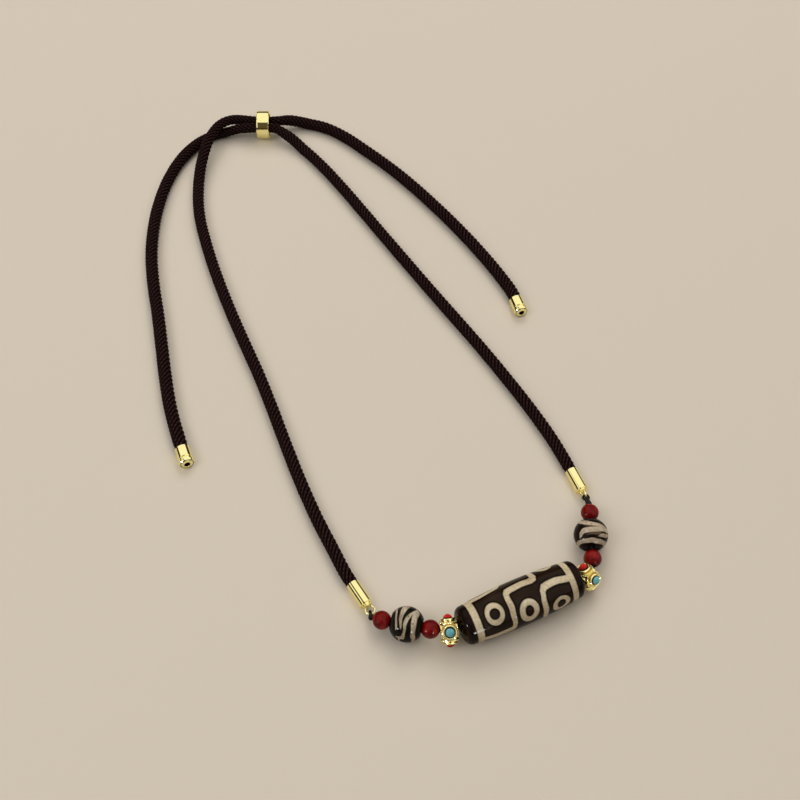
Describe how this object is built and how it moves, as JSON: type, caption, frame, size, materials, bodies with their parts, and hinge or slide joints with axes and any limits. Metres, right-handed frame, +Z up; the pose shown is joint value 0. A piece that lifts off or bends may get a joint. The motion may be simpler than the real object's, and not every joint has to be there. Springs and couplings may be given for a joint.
{
  "type": "dzi bead necklace",
  "caption": "Long dark etched agate bead between gold spacers, red beads and striped round beads, on a braided brown cord loop with a gold slider and capped tails.",
  "frame": {"origin": "bottom centre of the bounding box of the necklace without its cords and tail caps: on the surface that it lies on, in the middle of the loop", "axes": "+X along the long bead, to the right-hand beads when the slider is away from the viewer; +Y from the long bead to the slider; +Z up from the surface that the necklace lies on"},
  "size_m": [0.1402, 0.2553, 0.0142],
  "materials": {
    "agate_dark": "very dark brown agate with cream etched lines and eyes, polished",
    "agate_stripe": "black and cream striped agate, polished",
    "carnelian": "dark red translucent stone, polished",
    "coral": "opaque bright red stone, polished",
    "turquoise": "opaque blue-green stone, polished",
    "gold_spacer": "gold plated, beaded edges",
    "gold_polished": "pale gold plated, polished",
    "cord": "braided, slightly shiny",
    "thread": "twisted, matt",
    "rubber": "matt"
  },
  "bodies": {
    "root": {"dzi_barrel": "agate_dark", "dzi_round_left": "agate_stripe", "dzi_round_right": "agate_stripe", "red_outer_left": "carnelian", "red_inner_left": "carnelian", "red_inner_right": "carnelian", "red_outer_right": "carnelian", "spacer_left": "gold_spacer", "spacer_right": "gold_spacer", "coral_left_top": "coral", "coral_left_front": "coral", "coral_right_top": "coral", "coral_right_under": "coral", "turquoise_left_front": "turquoise", "turquoise_left_under": "turquoise", "turquoise_right_front": "turquoise", "turquoise_right_under": "turquoise", "bead_thread": "thread", "thread_knot_left": "thread", "thread_knot_right": "thread", "end_cap_left": "gold_polished", "end_cap_right": "gold_polished", "cord_a": "cord", "cord_b": "cord", "slider_ring": "gold_polished", "slider_insert": "rubber", "tail_cap_left": "gold_polished", "tail_cap_right": "gold_polished"}
  },
  "joints": []
}
